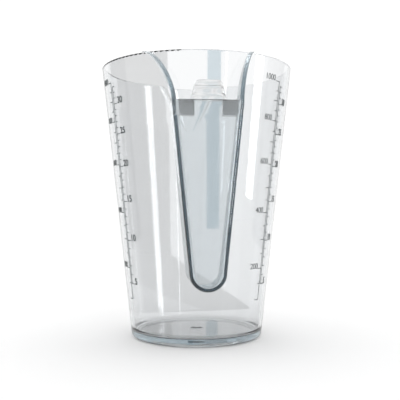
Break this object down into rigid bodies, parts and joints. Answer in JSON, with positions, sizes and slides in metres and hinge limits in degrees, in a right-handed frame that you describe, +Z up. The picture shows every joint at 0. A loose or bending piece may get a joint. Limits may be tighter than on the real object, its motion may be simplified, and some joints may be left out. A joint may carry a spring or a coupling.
{
  "type": "urine measuring jug",
  "caption": "Clear plastic tapered urine jug with a pour spout, a hollow grip open at the top, a ribbed thumb rest and printed volume scales.",
  "frame": {"origin": "centre of the foot ring's resting plane, on the cup's axis", "axes": "+Z up along the cup's axis, -Y towards the grip, +Y towards the spout"},
  "size_m": [0.1158, 0.1325, 0.163],
  "materials": {
    "clear_plastic": "clear polished",
    "grip_plastic": "clear polished",
    "rest_plastic": "clear polished",
    "ink": "printed ink"
  },
  "bodies": {
    "root": {"jug_body": "clear_plastic", "grip_channel": "grip_plastic", "thumb_rest": "rest_plastic", "scale_left": "ink", "scale_right": "ink"}
  },
  "joints": []
}
